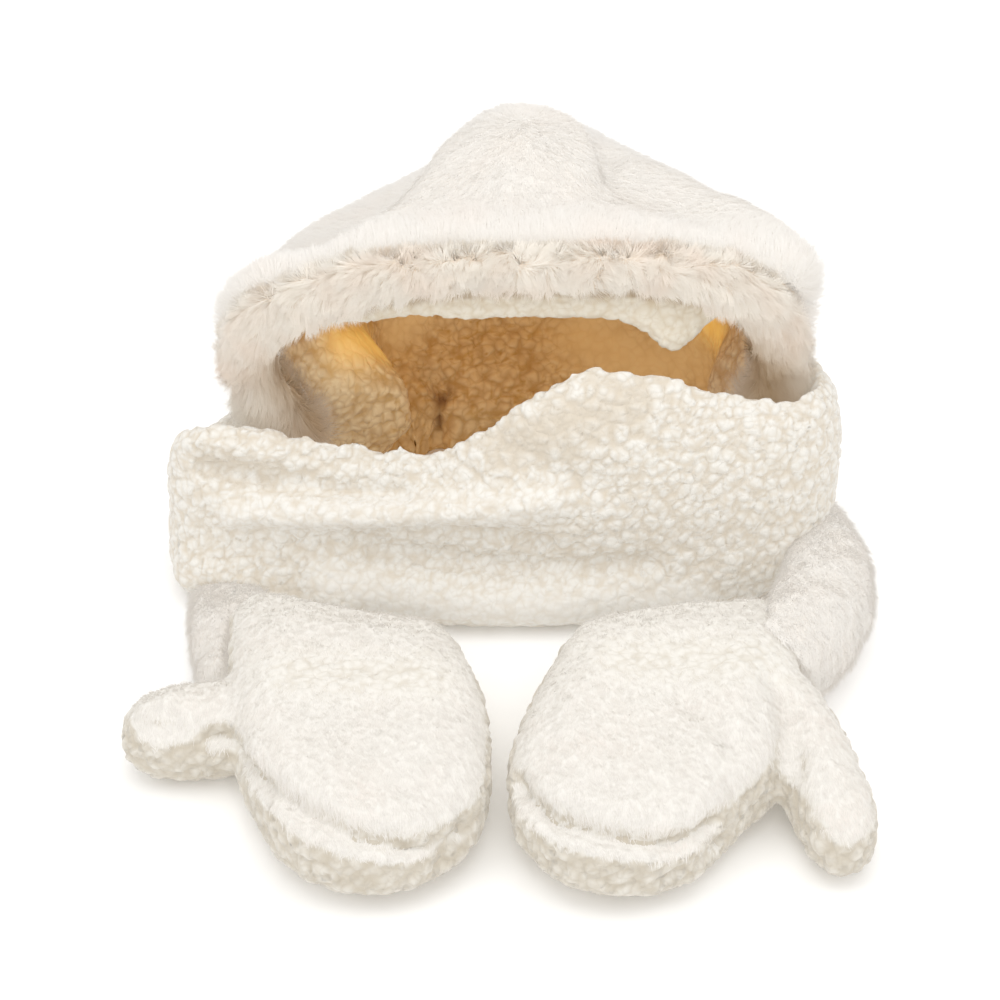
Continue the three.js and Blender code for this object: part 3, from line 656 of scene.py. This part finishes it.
# Fur roll round the face opening: the same cream plush rolled over the edge and sewn down, with a longer
# and silkier pile that hangs down over its front and parts in tufts along its crest.
TRIM_VOXEL = 0.0024
TRIM_SOFTENING = 10
TRIM_SWELL = 0.002  # height of the swells, and how far the cloth lies below its solid's face
TRIM_SWELL_SIZE = 0.018
TRIM_PILE = {
    "count": 170000, "length": 0.0125, "width": 0.00038, "lean": 60, "spread": 0.25,
    "tuft": 0.008, "pull": 0.5,
}
# Painted warm shade: the roll's pile and its backing are the hood's cream plush, coloured warmer than it
# and with darker roots for the warm shade over the roll's front and crest. Each has a painted glow.
FUR_PILE_WARM_SHADE_LOOK = {
    "root": (0.64, 0.56, 0.47, 1),
    "tip": (0.74, 0.705, 0.65, 1),
    "blush": (0.73, 0.63, 0.55, 1),
    "light": (0.16, 0.143, 0.12, 1),
}
FUR_CLOTH_WARM_SHADE_LOOK = {
    "cloth": (0.68, 0.60, 0.51, 1),
    "blush": (0.66, 0.56, 0.46, 1),
    "light": (0.22, 0.185, 0.145, 1),
}
# The pile at the roll's two ends that is turned in to the lining's golden light: painted beige, with a
# beige painted glow, for that light.
TURNED_IN = [
    {"course": ((-112, 44, 116), (-106, 44, 98), (-99, 46, 76)), "reach": 17},
    {"course": ((118, 40, 132), (130, 38, 118), (130, 38, 96)), "reach": 17},
]
PAINTED_GOLDEN_LIGHT_PILE = (0.50, 0.38, 0.25, 1)
LIGHT_IN_BEIGE = (0.075, 0.048, 0.022, 1)
OPENING_MIDDLE = np.array([0.003, 0.03, 0.1])
HUNG_DOWN = np.array([0.0, -0.3, -0.9])
LAID_BACK = np.array([0.0, 0.8, 0.5])
FANNED_IN_FRONT = 0.35
FANNED_BEHIND = 0.4
STRAY_SIZE = 0.011
STRAY_STRENGTH = 0.9
# The crest is where the cloth's normal turns from the front to the back.
CREST_FORWARD = 0.3
CREST_WANDERS = 0.5
CREST_WIDTH = 0.5
UNDERSIDE_TILT = -0.3
UNDERSIDE_ABOVE = 0.12
UNDERSIDE_DENSITY = 0.1
FUR_AT_TOP = 0.75
FUR_ADDED_AT_ENDS = 1.0
ENDS_BELOW = 0.125
ENDS_FADE = 0.05


def hung_and_out(root, up):
    """Pile that hangs down over the front of the roll, and lies back over the hood behind its crest. It
    parts unevenly there, in tufts that fan out."""
    away = unit((root - OPENING_MIDDLE) * [1, 0, 1])
    stray = np.array([noise.noise_vector(Vector(place) / STRAY_SIZE) for place in root.tolist()])
    behind = np.clip((up[:, 1:2] + CREST_FORWARD + CREST_WANDERS * stray[:, :1]) / CREST_WIDTH, 0, 1)
    hung = HUNG_DOWN + FANNED_IN_FRONT * away
    back = LAID_BACK + FANNED_BEHIND * away
    return hung * (1 - behind) + back * behind + STRAY_STRENGTH * stray


def not_underneath(places, outward):
    """1 on the roll, and little on its underside, where the lining's edge comes out."""
    underneath = (outward[:, 2] < UNDERSIDE_TILT) & (places[:, 2] > UNDERSIDE_ABOVE)
    return np.where(underneath, UNDERSIDE_DENSITY, 1.0)


def longer_at_the_ends(root):
    """The fur is longest where the roll's two ends go down behind the scarf."""
    return FUR_AT_TOP + FUR_ADDED_AT_ENDS * np.clip((ENDS_BELOW - root[:, 2:3]) / ENDS_FADE, 0, 1)


trim = fine_copy("face_trim", "face_trim_roll", TRIM_VOXEL, TRIM_SOFTENING)
raise_cloth(trim, TRIM_SWELL * swells(places_of(trim), TRIM_SWELL_SIZE) - TRIM_SWELL)
trim.data.materials.append(cloth_under_pile("fur_backing", FUR_CLOTH_WARM_SHADE_LOOK))
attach(trim, "root")
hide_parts("face_trim")
trim_pile = grow_pile(
    "face_trim_pile", trim, TRIM_PILE, hung_and_out, not_underneath, seed=5, longer=longer_at_the_ends)
keep_values(trim_pile, "turned_in", near_places(places_of(trim_pile), TURNED_IN))
fur_pile = pile_finish("fur_pile", FUR_PILE_WARM_SHADE_LOOK)
fur_shader = shader_of(fur_pile)
turned_in = kept_values(fur_pile, "turned_in")
fur_colour = fur_shader.inputs["Base Color"].links[0].from_socket
# Painted light: the turned-in pile is painted beige and glows beige.
painted_warm_colour = mixed_colours(fur_pile, turned_in, fur_colour, PAINTED_GOLDEN_LIGHT_PILE)
painted_warm_glow = mixed_colours(fur_pile, turned_in, FUR_PILE_WARM_SHADE_LOOK["light"], LIGHT_IN_BEIGE)
fur_pile.node_tree.links.new(painted_warm_colour, fur_shader.inputs["Base Color"])
fur_pile.node_tree.links.new(painted_warm_glow, fur_shader.inputs["Emission Color"])
trim_pile.data.materials.append(fur_pile)
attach(trim_pile, "root")

# Facing: the edge of the curly lining that is turned forward under the fur roll and caught down there, with
# one slack stretch that sags into the opening.
FACING_VOXEL = 0.0013
FACING_SOFTENING = 12
FACING_CLUMP = 0.008
FACING_CLUMP_HEIGHT = 0.0014
FACING_CURLINESS = 0.6
FACING_LOOK = {
    "rubbed": (0.72, 0.68, 0.60, 1),
    "curled": (0.68, 0.635, 0.54, 1),
    "crevice_shade": (0.52, 0.42, 0.28, 1),
    "curl": 0.0042,
    "relief": 0.0007,
}
# Painted light: a glow in the facing's fleece.
LIGHT_IN_FACING = (0.07, 0.06, 0.045, 1)

facing = fine_copy("lining_facing", "lining_facing_fleece", FACING_VOXEL, FACING_SOFTENING)
facing_curls = np.full(len(facing.data.vertices), FACING_CURLINESS)
curl_cloth(facing, FACING_CLUMP, FACING_CLUMP_HEIGHT, facing_curls)
facing_fleece = fleece_finish("facing_fleece", FACING_LOOK)
glow(facing_fleece, LIGHT_IN_FACING)
facing.data.materials.append(facing_fleece)
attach(facing, "root")
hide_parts("lining_facing")

# Scarf loop: two cloths sewn into a wide flat scarf, its curly side out, once round the hood's neck. Its
# front is creased along, and its lower edge is worn smooth.
LOOP_VOXEL = 0.0034
LOOP_SOFTENING = 8
LOOP_CLUMP = 0.0085
LOOP_CLUMP_HEIGHT = 0.0016
CREASE_UNDER_TOP = {
    "course": ((-152, 10, 81), (-125, 4, 77), (-89, -4, 76), (-54, -9, 77)), "reach": 6, "rise": -8}
LONG_RIDGE = {
    "course": ((-138, 1, 58), (-89, -8, 64), (-54, -10, 67), (-24, -14, 70), (20, -17, 79)),
    "reach": 8, "rise": 7}
CREASE_UNDER_RIDGE = {
    "course": ((-75, -12, 50), (-34, -17, 58), (1, -18, 57), (16, -17, 52)), "reach": 6, "rise": -6}
LOW_CREASE = {
    "course": ((-68, -12, 41), (-34, -15, 40), (1, -19, 37), (41, -20, 38), (70, -15, 38)),
    "reach": 6, "rise": -7}
LOWER_EDGE = {
    "course": ((-90, -14, 22), (-30, -23, 18), (26, -25, 17), (92, -18, 14)), "reach": 12, "rise": 6}
DENT_IN_HUMP = {"course": ((1, -8, 104), (20, -15, 96), (45, -17, 89)), "reach": 9, "rise": -3}
LEFT_CORNER = {"course": ((-168, 24, 90), (-145, 12, 92), (-120, 6, 90)), "reach": 12, "rise": 6}
LEFT_FOOT = {"course": ((-158, 4, 16), (-120, -16, 12), (-90, -22, 10)), "reach": 14, "rise": 9}
LOOP_FOLDS = [
    CREASE_UNDER_TOP, LONG_RIDGE, CREASE_UNDER_RIDGE, LOW_CREASE, LOWER_EDGE, DENT_IN_HUMP, LEFT_CORNER,
    LEFT_FOOT,
]
RUBBED_FOLDS = [LONG_RIDGE, LOWER_EDGE]
RUBBED_FLAT = 0.7
# Painted shade: places painted towards the crevice colour where shade falls, in the crease under the loop's
# top, on the hump under the hood's brim, and along the foot beside the left mitten.
PAINTED_SHADE_PLACES = [
    {"course": ((-152, 10, 82), (-125, 4, 80), (-89, -4, 79)), "reach": 9},
    {"course": ((2, -8, 106), (30, -6, 118), (60, 0, 128)), "reach": 20},
    {"course": ((-130, -24, 6), (-70, -28, 4), (-20, -28, 3)), "reach": 7},
]
PAINTED_SHADE_STRENGTH = 0.8
LOOP_LOOK = {
    "rubbed": (0.60, 0.59, 0.575, 1),
    "curled": (0.585, 0.57, 0.54, 1),
    "crevice_shade": (0.46, 0.40, 0.32, 1),
    "curl": 0.0042,
    "relief": 0.0007,
}
# Painted light: a glow in the loop's fleece, for the light passed on between its curls.
LIGHT_IN_LOOP = (0.215, 0.203, 0.179, 1)
LOOP_HEART = np.array([0.0, 0.1, 0.0])
TURNED_AWAY = -0.01  # below this a face looks in at the loop's middle, where the hood hides it
LOOP_UNDERSIDE = 0.006


def split_faces(piece, wanted):
    """Splits each wanted face into four."""
    worked = bmesh.new()
    worked.from_mesh(piece.data)
    edges = [edge for edge in worked.edges if any(wanted[face.index] for face in edge.link_faces)]
    bmesh.ops.subdivide_edges(worked, edges=edges, cuts=1, use_grid_fill=True)
    worked.to_mesh(piece.data)
    worked.free()


loop = fine_copy("scarf_loop", "scarf_loop_fleece", LOOP_VOXEL, LOOP_SOFTENING)
middles = read_points(loop.data.polygons, "center")
normals = read_points(loop.data.polygons, "normal")
seen = ((middles - LOOP_HEART) * normals * [1, 1, 0]).sum(1) > TURNED_AWAY
split_faces(loop, seen & (middles[:, 2] > LOOP_UNDERSIDE))
raise_cloth(loop, folded(places_of(loop), LOOP_FOLDS))
rubbed = near_places(places_of(loop), RUBBED_FOLDS)
painted_shade = near_places(places_of(loop), PAINTED_SHADE_PLACES)
curl_cloth(loop, LOOP_CLUMP, LOOP_CLUMP_HEIGHT, 1 - RUBBED_FLAT * rubbed, PAINTED_SHADE_STRENGTH * painted_shade)
cream_fleece = fleece_finish("cream_fleece", LOOP_LOOK)
glow(cream_fleece, LIGHT_IN_LOOP)
loop.data.shade_smooth()
loop.data.materials.append(cream_fleece)
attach(loop, "root")
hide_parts("scarf_loop")

# Scarf ends: the plush side of the scarf, folded lengthwise, coming out from under the loop on both sides
# and sewn to the mittens' wrists.
PLUSH_VOXEL = 0.003
END_SOFTENING = 10
END_SWELL_SIZE = 0.016
END_PILE = {
    "count": 24000, "length": 0.006, "width": 0.0004, "lean": 62, "spread": 0.3,
    "tuft": 0.006, "pull": 0.4,
}
BARE_BELOW = 0.003
TOWARDS_MITTEN = [0.1, -1.0, -0.3]
SCARF_ENDS = [{"side": "left", "seed": 11}, {"side": "right", "seed": 12}]


def along_scarf(root, up):
    return np.tile(TOWARDS_MITTEN, (len(root), 1))


def above_floor(places, outward):
    return np.where(places[:, 2] > BARE_BELOW, 1.0, 0.0) + NEARLY_NONE


for row in SCARF_ENDS:
    side = row["side"]
    end = fine_copy(f"{side}_scarf_end", f"{side}_scarf_end_plush", PLUSH_VOXEL, END_SOFTENING)
    raise_cloth(end, PLUSH_SWELL * swells(places_of(end), END_SWELL_SIZE))
    end.data.materials.append(plush_cloth)
    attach(end, "root")
    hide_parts(f"{side}_scarf_end")
    end_pile = grow_pile(f"{side}_scarf_end_pile", end, END_PILE, along_scarf, above_floor, row["seed"])
    end_pile.data.materials.append(plush_pile)
    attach(end_pile, "root")

# Mittens: two cloths of plush sewn along the edge of the hand, with the thumb in one piece with it and the
# wrist open. The seam draws the cloth in along the front, where it folds over and bunches into curls.
MITTEN_SOFTENING = 8
MITTEN_CLUMP = 0.009
MITTEN_CLUMP_HEIGHT = 0.0022
MITTEN_PILE = {
    "count": 60000, "length": 0.0042, "width": 0.00036, "lean": 70, "spread": 0.22,
    "tuft": 0.006, "pull": 0.4,
}
LEFT_FRONT_GROOVE = (
    (-137, -141, 34), (-128, -153, 33), (-115, -176, 41), (-92, -200, 45), (-70, -214, 42), (-43, -218, 36),
    (-20, -201, 31))
LEFT_FRONT_ROLL = ((-118, -160, 48), (-95, -186, 50), (-70, -202, 50), (-40, -206, 48))
LEFT_LOW_GROOVE = ((-112, -172, 24), (-90, -202, 24), (-62, -216, 22), (-30, -210, 22))
LEFT_THUMB_DENT = ((-172, -138, 36), (-158, -138, 38))
LEFT_THUMB_ROLL = ((-160, -122, 44), (-178, -132, 38), (-170, -152, 30), (-150, -152, 30))
RIGHT_FRONT_GROOVE = ((2, -177, 38), (18, -202, 42), (42, -214, 43), (73, -217, 39), (92, -204, 38))
RIGHT_FRONT_ROLL = ((16, -186, 49), (42, -202, 50), (70, -204, 49), (92, -190, 48))
RIGHT_LOW_GROOVE = ((18, -200, 24), (42, -216, 22), (73, -219, 22), (98, -200, 24))
RIGHT_PALM_DENT = ((80, -130, 51), (102, -160, 50))
RIGHT_THUMB_GROOVE = ((126, -115, 48), (131, -144, 42), (132, -166, 38))
MITTENS = [
    {
        "side": "left", "seed": 21,
        "folds": [
            {"course": LEFT_FRONT_GROOVE, "reach": 5, "rise": -8},
            {"course": LEFT_FRONT_ROLL, "reach": 8, "rise": 3},
            {"course": LEFT_LOW_GROOVE, "reach": 4, "rise": -5},
            {"course": LEFT_THUMB_DENT, "reach": 6, "rise": -3},
            {"course": LEFT_THUMB_ROLL, "reach": 5, "rise": 3},
        ],
        "curly_patches": [{"course": ((-99, -112, 51), (-42, -116, 52)), "reach": 18}],
    },
    {
        "side": "right", "seed": 22,
        "folds": [
            {"course": RIGHT_FRONT_GROOVE, "reach": 5, "rise": -8},
            {"course": RIGHT_FRONT_ROLL, "reach": 8, "rise": 3},
            {"course": RIGHT_LOW_GROOVE, "reach": 4, "rise": -5},
            {"course": RIGHT_PALM_DENT, "reach": 6, "rise": -3},
            {"course": RIGHT_THUMB_GROOVE, "reach": 6, "rise": -4},
        ],
        "curly_patches": [{"course": ((58, -102, 50), (118, -100, 49)), "reach": 20}],
    },
]
# Painted shade: folds pressed in deeper than this are painted dark as shade.
SHADED_BELOW_RISE = -4  # folds pressed in deeper than this are shaded down to the backing
GROOVE_SHADE = 0.8
SIDE_SHADE = 0.6
LEAST_CURLY = 0.1
PATCH_CURLINESS = 0.6
BARE_IN_PATCH = 0.9
CURLY_BELOW = 0.046  # the mittens' sides are curly, up to about this height
CURLY_FADE = 0.008
STEEP_FROM = 0.72  # where the cloth's normal rises less than this, it is on its way to being a side
STEEP_FADE = 0.25
TOWARDS_FINGERTIPS = [0.1, -1.0, -0.4]
# Painted shade: the curled colour is a little darker for the curly sides that face away from the light, and
# the crevice colour darkens the crevices, grooves and sides.
MITTEN_LOOK = {
    "rubbed": (0.61, 0.60, 0.58, 1),
    "curled": (0.58, 0.56, 0.52, 1),
    "crevice_shade": (0.38, 0.335, 0.265, 1),
    "curl": 0.0045,
    "relief": 0.0009,
}
# Painted light: a glow in the mittens' fleece.
LIGHT_IN_MITTEN = (0.20, 0.187, 0.163, 1)


def along_hand(root, up):
    return np.tile(TOWARDS_FINGERTIPS, (len(root), 1))


def curly_sides(places, outward):
    """1 on the sides of the mittens, where the seam draws the cloth into curls, and 0 on their tops."""
    steep = np.clip((STEEP_FROM - outward[:, 2]) / STEEP_FADE, 0, 1)
    low = np.clip((CURLY_BELOW - places[:, 2]) / CURLY_FADE, 0, 1)
    return steep * low


def on_smooth_side(places, outward):
    """1 on the smooth tops of the mittens, and less where they are curly."""
    patches = near_places(places, [row for mitten in MITTENS for row in mitten["curly_patches"]])
    curly = np.maximum(curly_sides(places, outward), BARE_IN_PATCH * patches)
    return above_floor(places, outward) * (1 - curly) ** 2 + NEARLY_NONE


mitten_fleece = fleece_finish("mitten_fleece", MITTEN_LOOK)
glow(mitten_fleece, LIGHT_IN_MITTEN)

for row in MITTENS:
    side = row["side"]
    mitten = fine_copy(f"{side}_mitten", f"{side}_mitten_plush", PLUSH_VOXEL, MITTEN_SOFTENING)
    raise_cloth(mitten, folded(places_of(mitten), row["folds"]))
    sides = curly_sides(places_of(mitten), outward_of(mitten))
    patch = near_places(places_of(mitten), row["curly_patches"])
    grooves = [fold for fold in row["folds"] if fold["rise"] < SHADED_BELOW_RISE]
    # Painted shade in the deepest grooves and on the curly sides, which face down and away from the light.
    painted_shade = np.maximum(GROOVE_SHADE * near_places(places_of(mitten), grooves), SIDE_SHADE * sides)
    curliness = LEAST_CURLY + (1 - LEAST_CURLY) * np.maximum(sides, PATCH_CURLINESS * patch)
    curl_cloth(mitten, MITTEN_CLUMP, MITTEN_CLUMP_HEIGHT, curliness, painted_shade)
    mitten.data.materials.append(mitten_fleece)
    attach(mitten, "root")
    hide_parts(f"{side}_mitten")
    mitten_pile = grow_pile(
        f"{side}_mitten_pile", mitten, MITTEN_PILE, along_hand, on_smooth_side, row["seed"])
    mitten_pile.data.materials.append(plush_pile)
    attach(mitten_pile, "root")
